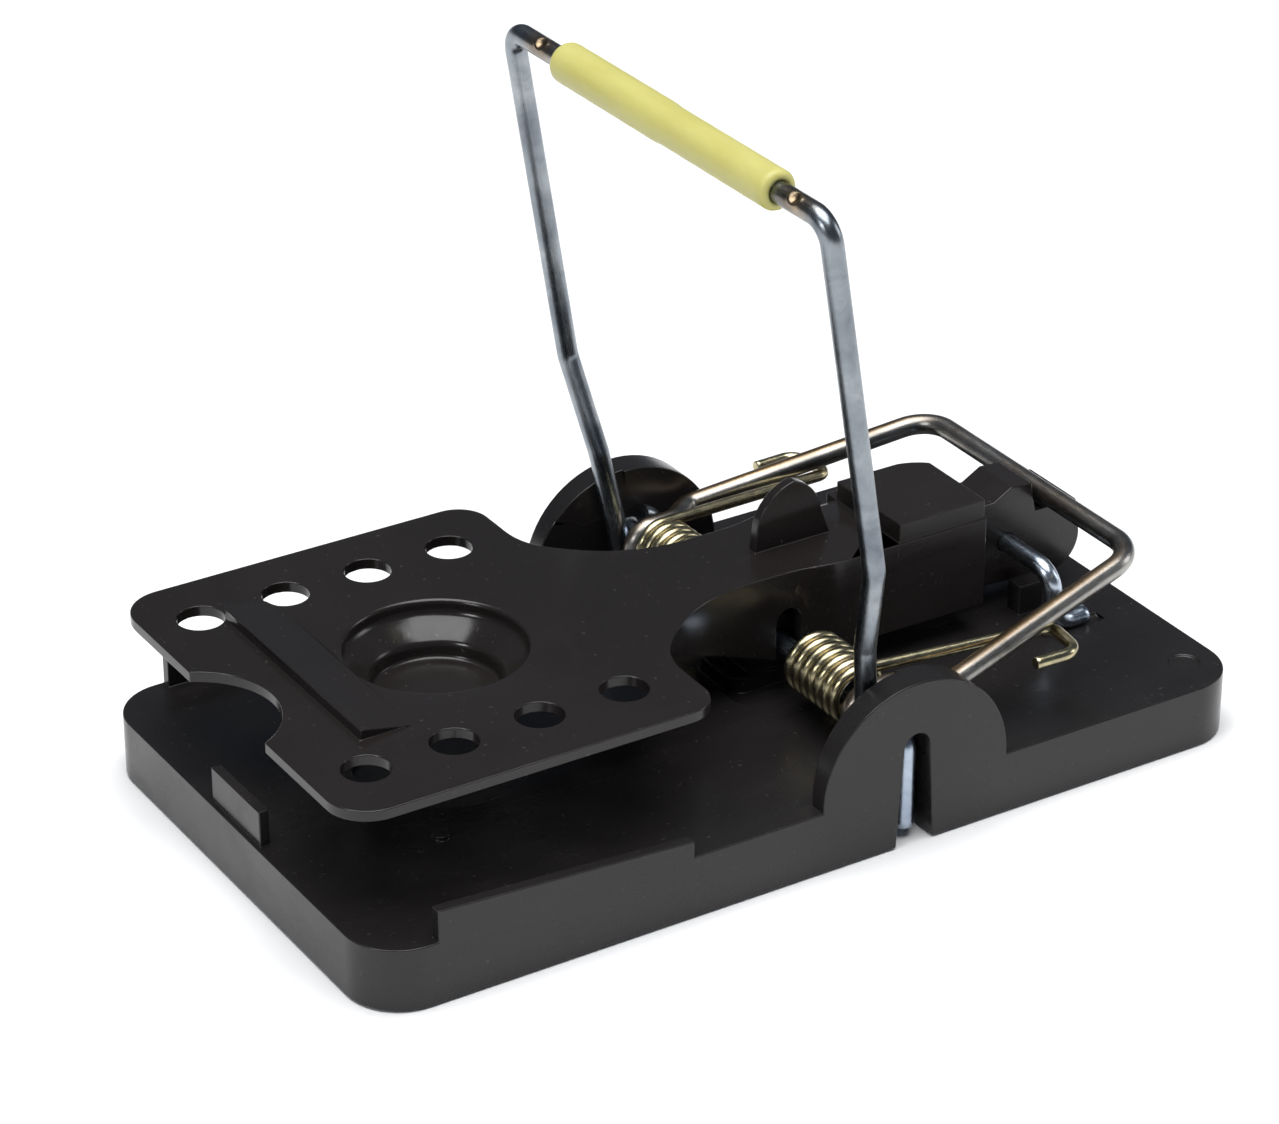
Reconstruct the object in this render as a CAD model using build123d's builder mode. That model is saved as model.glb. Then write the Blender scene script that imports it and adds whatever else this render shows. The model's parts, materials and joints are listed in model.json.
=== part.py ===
"""Set snap mouse trap: moulded base and paddle, sprung wire striker with a sleeve, wire setting lever."""

from build123d import *
import os
from math import acos, atan2, cos, degrees, hypot, radians, sin

os.makedirs("parts", exist_ok=True)

# Frame: millimetres, +Z up, origin at the middle of the underside.
# The striker falls towards -Y, where the bait cup is; the setting lever points to +Y.

# base tray
BASE_LENGTH = 105.0
BASE_WIDTH = 58.8
BASE_HEIGHT = 6.95
BASE_CORNER = 6.0
SIDE_WALL = 2.0
TOP_WALL = 2.0
RIB = 1.4
RIB_FOOT_GAP = 0.6
RIB_YS = (-43.4, -13.0, 30.0)
DISH_Y = -28.5
DISH_RADIUS = 9.3
DISH_FLOOR_Z = 5.6
DISH_WALL = 1.5

# axle line, the ears that carry it and the post between them
AXLE_Y = 9.92
AXLE_Z = 11.4
WIRE = 2.3
EAR_CENTRE_Z = 7.33
EAR_RADIUS = 11.3
EAR_WALL = 3.6
RELIEF_TURNS = (95.0, 207.0)
RELIEF_PROFILE = ((25.7, 4.6), (27.15, 11.4), (28.0, 14.0), (25.7, 14.0))
SLOT_FOOT = 4.5
SLOT_HEAD = 3.1
SLOT_TOP = 12.75
AXLE_HALF = 27.2
AXLE_FOOT_Z = 1.0
AXLE_BEND = 1.6
POST_HALF = 3.6
POST_DEPTH = 6.4
POST_TOP = 14.2
POST_FIT = 0.1
CRADLE_HALF = 3.95
CRADLE_YS = (4.4, 15.4)
CRADLE_TOP = 8.1
CRADLE_CORNER = 1.9
NECK_DISH_HALF = 7.4
NECK_DISH_YS = (3.4, 16.4)
NECK_DISH_FLOOR_Z = 6.3

# lips that the sprung striker lands on
LIP_FRONT_Y = -45.5
LIP_REAR_Y = -16.6
LIP_FRONT_Z = 10.45
LIP_REAR_Z = 8.8
LIP_WALL = 1.3
FRONT_LIP_HALF = 5.2
FRONT_LIP_TOP = 10.9
FRONT_LIP_WALL = 1.1
FRONT_LIP_INSET = 0.5

# small marks left by the mould on the tray's top
MARK_PLACE = (24.0, 48.4)
MARK_RADIUS = 1.7
MARK_DEPTH = 0.25
PIP_PLACE = (12.9, -35.9)
PIP_RADIUS = 0.9
PIP_HEIGHT = 0.5

# trigger paddle
PLATE_TOP = 20.5
PLATE_WALL = 1.2
PLATE_HALF = 25.1
PLATE_FRONT = -52.4
PLATE_BACK = -10.5
PLATE_CORNER = 4.6
PLATE_REAR_CORNER = 3.6
NOTCH_Y = -56.4
NOTCH_RADIUS = 9.0
BAIT_HOLES_RADIUS = 2.5
BAIT_HOLES_X = 17.5
BAIT_HOLES_Y = (-46.4, -36.7, -27.1, -17.4)
CUP_Y = -28.9
CUP_RADIUS = 9.45
CUP_WALL_Z = 19.1
WELL_RIM_Z = 16.9
WELL_RADIUS = 6.7
WELL_FLOOR_Z = 15.3
SHELL = 1.2
STEP_FRONT_Y = -44.5
STEP_BACK_Y = -38.6
STEP_RISE = 1.05
STEP_XS = (-17.0, 12.6)
WAIST_HALF = 5.9
NECK_HALF = 7.0
NECK_REAR = 34.3
SCOOP_YS = (20.9, 23.2)
SCOOP_X = -4.6
SCOOP_FOOT_Z = 19.2
SKIRT = 1.6
SKIRT_FOOT_Z = 10.2
AXLE_SLOT_HALF = 1.5
AXLE_SLOT_TOP = 16.1
BLOCK_NEAR_X = 6.7
BLOCK_FAR_X = -5.1
BLOCK_YS = (23.2, 34.2)
BLOCK_TOP = 22.7
BLOCK_CORNER = 3.2
FIN_WALL = 1.2
TAIL_HALF = 3.0

# hinge pin of the paddle and its seat on the base
PIN_Y = 40.0
PIN_Z = 14.3
PIN_WIRE = 2.1
PIN_HALF = 11.0
PIN_FOOT_Y = 41.2
PIN_FOOT_END = 45.0
PIN_FOOT_Z = 7.75
PIN_BEND = 2.2
PIN_FIT = 0.06
GROOVE_FIT = 0.15
LUG_XS = (4.2, 6.4)
LUG_YS = (39.6, 42.8)
LUG_TOP = 10.4

# striker wire, from the bar down to the eyelets
BAR_Y = -2.06
BAR_Z = 71.37
BAR_HALF = 29.05
KNEE_Y = 4.2
KNEE_Z = 32.7
ANKLE_X = 25.5
ANKLE_Y = 5.86
ANKLE_Z = 22.1
SHIN_X = 24.1
SHIN_Y = 7.2
SHIN_Z = 13.5
EYE_RADIUS = WIRE + 0.1
STRIKER_EYE_TURN = 250.0
STRIKER_BEND = 2.7
DENT_REACH = 23.2
DENT = (1.5, 2.9, 1.0)

# setting lever wire
LEVER_EYE_X = 21.1
LEVER_EYE_TURN = 265.0
LEVER_KINK_IN_Y = 12.7
LEVER_KINK_OUT_Y = 16.4
LEVER_KINK_OUT_X = 24.15
LEVER_KINK_OUT_Z = 13.35
LEVER_END_Y = 45.18
LEVER_END_Z = 18.75
LEVER_HALF = 18.8
LEVER_BEND = 4.2

# sleeve on the striker bar
SLEEVE_OUTER = 4.4
SLEEVE_FIT = 0.08
SLEEVE_LENGTH = 39.2
SLEEVE_SHIFT = 1.1
SLEEVE_CHAMFER = 0.5

# torsion springs
SPRING_WIRE = 1.3
SPRING_MEAN = 2.95
SPRING_PITCH = 1.33
SPRING_TURNS = 6.5
SPRING_LIFT = 0.8
SPRING_INNER_X = 10.3
SPRING_FOOT_X = 10.0
SPRING_FOOT_Y = 15.0
SPRING_FOOT_Z = 4.0
SPRING_ARM_Y = 32.9
SPRING_ARM_X = 20.75
HOOK_X = 26.4
HOOK_Y = 32.2
HOOK_END_Y = 26.8
HOOK_Z = 14.3


def eye_point(x, turn):
    """A point of an eyelet round the axle line: turn 0 is +Y, turn 90 is up."""
    angle = radians(turn)
    return (x, AXLE_Y + EYE_RADIUS * cos(angle), AXLE_Z + EYE_RADIUS * sin(angle))


def eye_arc(x, first, last):
    """The eyelet arc between two turns."""
    return ThreePointArc(eye_point(x, first), eye_point(x, (first + last) / 2), eye_point(x, last))


def tangent_turn(y, z, side):
    """The turn at which a straight wire from (y, z) touches the eyelet circle."""
    away_y = y - AXLE_Y
    away_z = z - AXLE_Z
    return degrees(atan2(away_z, away_y)) + side * degrees(acos(EYE_RADIUS / hypot(away_y, away_z)))


# base: tray with ears, post, lips and seats
WALL_INNER_X = BASE_WIDTH / 2 - SIDE_WALL
EAR_INNER_X = BASE_WIDTH / 2 - EAR_WALL
RIB_HEIGHT = BASE_HEIGHT - TOP_WALL - RIB_FOOT_GAP

with BuildPart() as base:
    with BuildSketch():
        RectangleRounded(BASE_WIDTH, BASE_LENGTH, BASE_CORNER)
    extrude(amount=BASE_HEIGHT)
    with BuildSketch():
        RectangleRounded(BASE_WIDTH - 2 * SIDE_WALL, BASE_LENGTH - 2 * SIDE_WALL, BASE_CORNER - SIDE_WALL)
    extrude(amount=BASE_HEIGHT - TOP_WALL, mode=Mode.SUBTRACT)
    # cross ribs and the beam under the post
    with BuildSketch(Plane.XY.offset(RIB_FOOT_GAP)):
        for rib_y in RIB_YS:
            with Locations((0, rib_y)):
                Rectangle(2 * WALL_INNER_X + SIDE_WALL, RIB)
        with Locations((0, AXLE_Y)):
            Rectangle(2 * EAR_INNER_X + RIB, 2 * RIB)
    extrude(amount=RIB_HEIGHT)
    # ears flush with the long sides, thick down to the table
    for side in (-1, 1):
        with BuildSketch(Plane.YZ.offset(side * BASE_WIDTH / 2)):
            with Locations((AXLE_Y, EAR_CENTRE_Z)):
                Circle(EAR_RADIUS)
            with Locations((AXLE_Y, BASE_HEIGHT / 2)):
                Rectangle(4 * EAR_RADIUS, BASE_HEIGHT, mode=Mode.SUBTRACT)
            with Locations((AXLE_Y, EAR_CENTRE_Z / 2)):
                Rectangle(2 * EAR_RADIUS - SIDE_WALL, EAR_CENTRE_Z)
            with Locations((AXLE_Y, -BASE_HEIGHT)):
                Rectangle(4 * EAR_RADIUS, 2 * BASE_HEIGHT, mode=Mode.SUBTRACT)
        extrude(amount=-side * EAR_WALL)
    # wedge-shaped slots that take the bent ends of the axle
    for side in (-1, 1):
        with BuildSketch(Plane.YZ.offset(side * BASE_WIDTH / 2)):
            with BuildLine():
                slot_head = ThreePointArc(
                    (AXLE_Y - SLOT_HEAD / 2, SLOT_TOP - SLOT_HEAD / 2),
                    (AXLE_Y, SLOT_TOP),
                    (AXLE_Y + SLOT_HEAD / 2, SLOT_TOP - SLOT_HEAD / 2),
                )
                Polyline(slot_head @ 1, (AXLE_Y + SLOT_FOOT / 2, 0), (AXLE_Y - SLOT_FOOT / 2, 0), slot_head @ 0)
            make_face()
        extrude(amount=-side * (EAR_WALL + RIB), mode=Mode.SUBTRACT)
    # dish under the bait cup, with a thicker pad below it
    with BuildSketch(Plane.XY.offset(DISH_FLOOR_Z - DISH_WALL)):
        with Locations((0, DISH_Y)):
            Circle(DISH_RADIUS + RIB)
    extrude(amount=DISH_WALL)
    with BuildSketch(Plane.XY.offset(DISH_FLOOR_Z)):
        with Locations((0, DISH_Y)):
            Circle(DISH_RADIUS)
    extrude(amount=BASE_HEIGHT, mode=Mode.SUBTRACT)
    # dish under the neck, cradle block and the post bored for the axle
    with BuildSketch(Plane.XY.offset(NECK_DISH_FLOOR_Z)):
        with Locations((0, sum(NECK_DISH_YS) / 2)):
            RectangleRounded(2 * NECK_DISH_HALF, NECK_DISH_YS[1] - NECK_DISH_YS[0], SIDE_WALL)
    extrude(amount=BASE_HEIGHT, mode=Mode.SUBTRACT)
    with BuildSketch(Plane.XY.offset(NECK_DISH_FLOOR_Z - TOP_WALL / 2)):
        with Locations((0, sum(CRADLE_YS) / 2)):
            RectangleRounded(2 * CRADLE_HALF, CRADLE_YS[1] - CRADLE_YS[0], CRADLE_CORNER)
    extrude(amount=CRADLE_TOP - NECK_DISH_FLOOR_Z + TOP_WALL / 2)
    with BuildSketch(Plane.XY.offset(BASE_HEIGHT - TOP_WALL)):
        with Locations((0, AXLE_Y)):
            Rectangle(2 * POST_HALF, POST_DEPTH)
    extrude(amount=POST_TOP - BASE_HEIGHT + TOP_WALL)
    with BuildSketch(Plane.YZ):
        with Locations((AXLE_Y, AXLE_Z)):
            Circle(WIRE / 2 + POST_FIT)
    extrude(amount=POST_HALF, both=True, mode=Mode.SUBTRACT)
    # relief turned into each ear, where the striker's legs sweep past
    relief_plane = Plane(
        origin=(0, AXLE_Y, AXLE_Z),
        x_dir=(1, 0, 0),
        z_dir=(0, -sin(radians(RELIEF_TURNS[0])), cos(radians(RELIEF_TURNS[0]))),
    )
    for side in (-1, 1):
        with BuildSketch(relief_plane):
            with BuildLine():
                Polyline(*[(side * x, reach) for x, reach in RELIEF_PROFILE], close=True)
            make_face()
        relief = revolve(
            axis=Axis((0, AXLE_Y, AXLE_Z), (1, 0, 0)),
            revolution_arc=RELIEF_TURNS[1] - RELIEF_TURNS[0],
            mode=Mode.PRIVATE,
        )
        with BuildSketch(Plane.XY.offset(BASE_HEIGHT)):
            with Locations((side * EAR_INNER_X, AXLE_Y)):
                Rectangle(2 * EAR_WALL, 4 * EAR_RADIUS)
        above_tray = extrude(amount=2 * EAR_RADIUS, mode=Mode.PRIVATE)
        add(relief & above_tray, mode=Mode.SUBTRACT)
    # side lips, higher at the front, and the narrow front lip
    for side in (-1, 1):
        with BuildSketch(Plane.YZ.offset(side * BASE_WIDTH / 2)):
            with BuildLine():
                Polyline(
                    (LIP_FRONT_Y, BASE_HEIGHT - TOP_WALL),
                    (LIP_REAR_Y, BASE_HEIGHT - TOP_WALL),
                    (LIP_REAR_Y, LIP_REAR_Z),
                    (LIP_FRONT_Y, LIP_FRONT_Z),
                    close=True,
                )
            make_face()
        extrude(amount=-side * LIP_WALL)
    with BuildSketch(Plane.XY.offset(BASE_HEIGHT)):
        with Locations((0, FRONT_LIP_WALL / 2 + FRONT_LIP_INSET - BASE_LENGTH / 2)):
            Rectangle(2 * FRONT_LIP_HALF, FRONT_LIP_WALL)
    extrude(amount=FRONT_LIP_TOP - BASE_HEIGHT)
    # lugs beside the tail, grooves for the pin feet, holes for the spring feet
    for side in (-1, 1):
        with BuildSketch(Plane.XY.offset(BASE_HEIGHT)):
            with Locations((side * sum(LUG_XS) / 2, sum(LUG_YS) / 2)):
                Rectangle(LUG_XS[1] - LUG_XS[0], LUG_YS[1] - LUG_YS[0])
        extrude(amount=LUG_TOP - BASE_HEIGHT)
        with BuildSketch(Plane.XZ.offset(-PIN_FOOT_Y + PIN_WIRE)):
            with Locations((side * PIN_HALF, PIN_FOOT_Z)):
                Circle(PIN_WIRE / 2 + GROOVE_FIT)
        extrude(amount=-(PIN_FOOT_END - PIN_FOOT_Y + 2 * PIN_WIRE), mode=Mode.SUBTRACT)
        with BuildSketch(Plane.XY.offset(BASE_HEIGHT - TOP_WALL)):
            with Locations((side * SPRING_FOOT_X, SPRING_FOOT_Y)):
                Circle(SPRING_WIRE / 2 + GROOVE_FIT)
        extrude(amount=TOP_WALL, mode=Mode.SUBTRACT)
    # a round mark sunk in one rear corner and a small pip beside the cup's dish
    with BuildSketch(Plane.XY.offset(BASE_HEIGHT - MARK_DEPTH)):
        with Locations(MARK_PLACE):
            Circle(MARK_RADIUS)
    extrude(amount=BASE_HEIGHT, mode=Mode.SUBTRACT)
    with Locations((*PIP_PLACE, BASE_HEIGHT)):
        Cylinder(PIP_RADIUS, 2 * PIP_HEIGHT)
base.part.label = "base"
export_step(base.part, "parts/base.step")


# axle: one wire across the trap with both ends bent down in the ear slots
with BuildPart() as pivot_axle:
    with BuildLine() as axle_line:
        FilletPolyline(
            (-AXLE_HALF, AXLE_Y, AXLE_FOOT_Z),
            (-AXLE_HALF, AXLE_Y, AXLE_Z),
            (AXLE_HALF, AXLE_Y, AXLE_Z),
            (AXLE_HALF, AXLE_Y, AXLE_FOOT_Z),
            radius=AXLE_BEND,
        )
    with BuildSketch(Plane(origin=axle_line.line @ 0, z_dir=axle_line.line % 0)):
        Circle(WIRE / 2)
    sweep(path=axle_line.line)
pivot_axle.part.label = "pivot_axle"
export_step(pivot_axle.part, "parts/pivot_axle.step")


# trigger pin: wire bracket that the paddle tips on, feet lying on the base
with BuildPart() as trigger_pin:
    with BuildLine() as pin_line:
        FilletPolyline(
            (-PIN_HALF, PIN_FOOT_END, PIN_FOOT_Z),
            (-PIN_HALF, PIN_FOOT_Y, PIN_FOOT_Z),
            (-PIN_HALF, PIN_Y, PIN_Z),
            (PIN_HALF, PIN_Y, PIN_Z),
            (PIN_HALF, PIN_FOOT_Y, PIN_FOOT_Z),
            (PIN_HALF, PIN_FOOT_END, PIN_FOOT_Z),
            radius=PIN_BEND,
        )
    with BuildSketch(Plane(origin=pin_line.line @ 0, z_dir=pin_line.line % 0)):
        Circle(PIN_WIRE / 2)
    sweep(path=pin_line.line)
trigger_pin.part.label = "trigger_pin"
export_step(trigger_pin.part, "parts/trigger_pin.step")


# striker: one wire, eyelet to eyelet, stamped flat beside the sleeve
STRIKER_TURN = tangent_turn(SHIN_Y, SHIN_Z, 1)
with BuildPart() as strike_bar:
    with BuildLine() as striker_line:
        eye_arc(-SHIN_X, STRIKER_TURN + STRIKER_EYE_TURN, STRIKER_TURN)
        FilletPolyline(
            eye_point(-SHIN_X, STRIKER_TURN),
            (-SHIN_X, SHIN_Y, SHIN_Z),
            (-ANKLE_X, ANKLE_Y, ANKLE_Z),
            (-BAR_HALF, KNEE_Y, KNEE_Z),
            (-BAR_HALF, BAR_Y, BAR_Z),
            (BAR_HALF, BAR_Y, BAR_Z),
            (BAR_HALF, KNEE_Y, KNEE_Z),
            (ANKLE_X, ANKLE_Y, ANKLE_Z),
            (SHIN_X, SHIN_Y, SHIN_Z),
            eye_point(SHIN_X, STRIKER_TURN),
            radius=(WIRE, *[STRIKER_BEND] * 6, WIRE),
        )
        eye_arc(SHIN_X, STRIKER_TURN, STRIKER_TURN + STRIKER_EYE_TURN)
    with BuildSketch(Plane(origin=striker_line.line @ 0, z_dir=striker_line.line % 0)):
        Circle(WIRE / 2)
    sweep(path=striker_line.line)
    with Locations((SLEEVE_SHIFT - DENT_REACH, BAR_Y, BAR_Z), (SLEEVE_SHIFT + DENT_REACH, BAR_Y, BAR_Z)):
        Box(*DENT)
strike_bar.part.label = "strike_bar"
export_step(strike_bar.part, "parts/strike_bar.step")


# setting lever: one wire, eyelet to eyelet, round the back of the trap
LEVER_TOP_Z = AXLE_Z + EYE_RADIUS
LEVER_TURN = tangent_turn(LEVER_KINK_IN_Y, LEVER_TOP_Z, 1)
with BuildPart() as set_lever:
    with BuildLine() as lever_line:
        eye_arc(-LEVER_EYE_X, LEVER_TURN + LEVER_EYE_TURN, LEVER_TURN)
        FilletPolyline(
            eye_point(-LEVER_EYE_X, LEVER_TURN),
            (-LEVER_EYE_X, LEVER_KINK_IN_Y, LEVER_TOP_Z),
            (-LEVER_KINK_OUT_X, LEVER_KINK_OUT_Y, LEVER_KINK_OUT_Z),
            (-LEVER_HALF, LEVER_END_Y, LEVER_END_Z),
            (LEVER_HALF, LEVER_END_Y, LEVER_END_Z),
            (LEVER_KINK_OUT_X, LEVER_KINK_OUT_Y, LEVER_KINK_OUT_Z),
            (LEVER_EYE_X, LEVER_KINK_IN_Y, LEVER_TOP_Z),
            eye_point(LEVER_EYE_X, LEVER_TURN),
            radius=(2.0, 2.0, LEVER_BEND, LEVER_BEND, 2.0, 2.0),
        )
        eye_arc(LEVER_EYE_X, LEVER_TURN, LEVER_TURN + LEVER_EYE_TURN)
    with BuildSketch(Plane(origin=lever_line.line @ 0, z_dir=lever_line.line % 0)):
        Circle(WIRE / 2)
    sweep(path=lever_line.line)
set_lever.part.label = "set_lever"
export_step(set_lever.part, "parts/set_lever.step")


# sleeve: loose tube on the striker bar
with BuildPart() as bar_sleeve:
    with BuildSketch(Plane.YZ.offset(SLEEVE_SHIFT - SLEEVE_LENGTH / 2)):
        with Locations((BAR_Y, BAR_Z)):
            Circle(SLEEVE_OUTER / 2)
            Circle(WIRE / 2 + SLEEVE_FIT, mode=Mode.SUBTRACT)
    extrude(amount=SLEEVE_LENGTH)
    chamfer(bar_sleeve.edges().filter_by(GeomType.CIRCLE).sort_by(SortBy.RADIUS)[-2:], SLEEVE_CHAMFER)
bar_sleeve.part.label = "bar_sleeve"
export_step(bar_sleeve.part, "parts/bar_sleeve.step")


# springs: loose coil round the axle, foot through the base, long arm hooked under the lever
SPRING_Z = AXLE_Z + SPRING_LIFT
with BuildPart() as spring_left:
    with BuildLine() as coil:
        Helix(
            SPRING_PITCH,
            SPRING_PITCH * SPRING_TURNS,
            SPRING_MEAN,
            center=(-SPRING_INNER_X, AXLE_Y, SPRING_Z),
            direction=(-1, 0, 0),
        )
    with BuildSketch(Plane(origin=coil.line @ 0, z_dir=coil.line % 0)):
        Circle(SPRING_WIRE / 2)
    sweep(path=coil.line, is_frenet=True)
    with BuildLine() as arm:
        FilletPolyline(
            coil.line @ 1,
            (-SPRING_ARM_X, SPRING_ARM_Y, HOOK_Z),
            (-HOOK_X, HOOK_Y, HOOK_Z),
            (0.2 - HOOK_X, HOOK_END_Y, HOOK_Z),
            radius=(1.4, 2.0),
        )
    with BuildSketch(Plane(origin=arm.line @ 0, z_dir=arm.line % 0)):
        Circle(SPRING_WIRE / 2)
    sweep(path=arm.line)
    with BuildLine() as foot:
        FilletPolyline(
            coil.line @ 0,
            (-SPRING_FOOT_X, SPRING_FOOT_Y, SPRING_Z - SPRING_MEAN),
            (-SPRING_FOOT_X, SPRING_FOOT_Y, SPRING_FOOT_Z),
            radius=1.2,
        )
    with BuildSketch(Plane(origin=foot.line @ 0, z_dir=foot.line % 0)):
        Circle(SPRING_WIRE / 2)
    sweep(path=foot.line)
    with Locations(coil.line @ 0, coil.line @ 1):
        Sphere(SPRING_WIRE / 2)
spring_left.part.label = "spring_left"
export_step(spring_left.part, "parts/spring_left.step")

with BuildPart() as spring_right:
    add(spring_left.part)
    mirror(about=Plane.YZ, mode=Mode.REPLACE)
spring_right.part.label = "spring_right"
export_step(spring_right.part, "parts/spring_right.step")


# paddle: plate, neck with skirts, bait cup, step, block, fin and tail
PLATE_FOOT = PLATE_TOP - PLATE_WALL
PLATE_MIDDLE = PLATE_TOP - PLATE_WALL / 2
NOTCH_HALF = (NOTCH_RADIUS**2 - (PLATE_FRONT - NOTCH_Y) ** 2) ** 0.5

with BuildPart() as paddle:
    with BuildSketch(Plane.XY.offset(PLATE_FOOT)):
        with BuildLine():
            notch_side = (NOTCH_RADIUS * sin(0.55), NOTCH_Y + NOTCH_RADIUS * cos(0.55))
            ThreePointArc((0, NOTCH_Y + NOTCH_RADIUS), notch_side, (NOTCH_HALF, PLATE_FRONT))
            Line((NOTCH_HALF, PLATE_FRONT), (PLATE_HALF - PLATE_CORNER, PLATE_FRONT))
            RadiusArc(
                (PLATE_HALF - PLATE_CORNER, PLATE_FRONT), (PLATE_HALF, PLATE_FRONT + PLATE_CORNER), -PLATE_CORNER
            )
            Line((PLATE_HALF, PLATE_FRONT + PLATE_CORNER), (PLATE_HALF, PLATE_BACK - PLATE_REAR_CORNER))
            RadiusArc(
                (PLATE_HALF, PLATE_BACK - PLATE_REAR_CORNER),
                (PLATE_HALF - PLATE_REAR_CORNER, PLATE_BACK),
                -PLATE_REAR_CORNER,
            )
            Line((PLATE_HALF - PLATE_REAR_CORNER, PLATE_BACK), (17.5, PLATE_BACK))
            Spline((17.5, PLATE_BACK), (11.0, -7.4), (WAIST_HALF, 5.0), tangents=((-1, 0), (0, 1)))
            Line((WAIST_HALF, 5.0), (WAIST_HALF, 9.0))
            Spline((WAIST_HALF, 9.0), (NECK_HALF, 17.0), tangents=((0, 1), (0, 1)))
            Polyline((NECK_HALF, 17.0), (NECK_HALF, NECK_REAR), (0, NECK_REAR))
            mirror(about=Plane.YZ)
        make_face()
        with Locations(*[(side * BAIT_HOLES_X, hole_y) for side in (-1, 1) for hole_y in BAIT_HOLES_Y]):
            Circle(BAIT_HOLES_RADIUS, mode=Mode.SUBTRACT)
    extrude(amount=PLATE_WALL)
    # skirts follow the edge of the neck; their lower edge deepens towards the back
    with BuildSketch(Plane.XY.offset(SKIRT_FOOT_Z)) as skirt_plan:
        with BuildLine():
            Polyline((0, PLATE_BACK - 1), (17.5, PLATE_BACK - 1), (17.5, PLATE_BACK))
            Spline((17.5, PLATE_BACK), (11.0, -7.4), (WAIST_HALF, 5.0), tangents=((-1, 0), (0, 1)))
            Line((WAIST_HALF, 5.0), (WAIST_HALF, 9.0))
            Spline((WAIST_HALF, 9.0), (NECK_HALF, 17.0), tangents=((0, 1), (0, 1)))
            Polyline((NECK_HALF, 17.0), (NECK_HALF, NECK_REAR), (0, NECK_REAR))
            mirror(about=Plane.YZ)
        make_face()
        with BuildLine():
            Line((0, PLATE_BACK - 2), (17.0, PLATE_BACK - 2))
            Spline(
                (17.0, PLATE_BACK - 2),
                (9.6, -8.2),
                (WAIST_HALF - SKIRT, 4.0),
                tangents=((-1, 0), (0, 1)),
            )
            Line((WAIST_HALF - SKIRT, 4.0), (WAIST_HALF - SKIRT, 9.5))
            Spline((WAIST_HALF - SKIRT, 9.5), (NECK_HALF - SKIRT, 17.5), tangents=((0, 1), (0, 1)))
            Polyline((NECK_HALF - SKIRT, 17.5), (NECK_HALF - SKIRT, NECK_REAR - SKIRT), (0, NECK_REAR - SKIRT))
            mirror(about=Plane.YZ)
        make_face(mode=Mode.SUBTRACT)
    skirts = extrude(amount=PLATE_MIDDLE - SKIRT_FOOT_Z, mode=Mode.PRIVATE)
    with BuildSketch(Plane.YZ):
        with BuildLine():
            Line((-9.0, PLATE_MIDDLE), (-9.0, PLATE_FOOT - 0.1))
            Spline((-9.0, PLATE_FOOT - 0.1), (-5.3, 16.5), (0.9, 13.3), (9.0, SKIRT_FOOT_Z - 0.1))
            Polyline(
                (9.0, SKIRT_FOOT_Z - 0.1),
                (NECK_REAR + 1, SKIRT_FOOT_Z - 0.1),
                (NECK_REAR + 1, PLATE_MIDDLE),
                (-9.0, PLATE_MIDDLE),
            )
        make_face()
    side_view = extrude(amount=PLATE_HALF, both=True, mode=Mode.PRIVATE)
    add(skirts & side_view)
    with BuildSketch(Plane.YZ):
        with Locations((AXLE_Y, AXLE_SLOT_TOP - AXLE_SLOT_HALF)):
            Circle(AXLE_SLOT_HALF)
        with Locations((AXLE_Y, (AXLE_SLOT_TOP - AXLE_SLOT_HALF) / 2)):
            Rectangle(2 * AXLE_SLOT_HALF, AXLE_SLOT_TOP - AXLE_SLOT_HALF)
    extrude(amount=2 * WAIST_HALF, both=True, mode=Mode.SUBTRACT)
    # bait cup: short wall, cone, inner well
    with BuildSketch(Plane.XZ.offset(-CUP_Y)):
        with BuildLine():
            Polyline(
                (0, PLATE_MIDDLE),
                (0, WELL_FLOOR_Z - SHELL),
                (WELL_RADIUS + SHELL, WELL_FLOOR_Z - SHELL),
                (WELL_RADIUS + SHELL, WELL_RIM_Z - SHELL),
                (CUP_RADIUS + SHELL, CUP_WALL_Z - SHELL),
                (CUP_RADIUS + SHELL, PLATE_MIDDLE),
                close=True,
            )
        make_face()
    revolve(axis=Axis((0, CUP_Y, 0), (0, 0, 1)))
    with BuildSketch(Plane.XZ.offset(-CUP_Y)):
        with BuildLine():
            Polyline(
                (0, PLATE_TOP + STEP_RISE),
                (0, WELL_FLOOR_Z),
                (WELL_RADIUS, WELL_FLOOR_Z),
                (WELL_RADIUS, WELL_RIM_Z),
                (CUP_RADIUS, CUP_WALL_Z),
                (CUP_RADIUS, PLATE_TOP + STEP_RISE),
                close=True,
            )
        make_face()
    revolve(axis=Axis((0, CUP_Y, 0), (0, 0, 1)), mode=Mode.SUBTRACT)
    # step across the plate, flush again at its back
    with BuildSketch(Plane.YZ.offset(STEP_XS[0])):
        with BuildLine():
            Polyline(
                (STEP_FRONT_Y, PLATE_MIDDLE),
                (STEP_FRONT_Y + STEP_RISE / 4, PLATE_TOP + STEP_RISE),
                (STEP_BACK_Y, PLATE_TOP),
                (STEP_BACK_Y, PLATE_MIDDLE),
                close=True,
            )
        make_face()
    extrude(amount=STEP_XS[1] - STEP_XS[0])
    # the step also covered the edges of the front bait holes, so they are opened again
    with Locations(*[(side * BAIT_HOLES_X, y, PLATE_TOP) for side in (-1, 1) for y in BAIT_HOLES_Y[:2]]):
        Cylinder(BAIT_HOLES_RADIUS, 4 * PLATE_WALL, mode=Mode.SUBTRACT)
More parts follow.
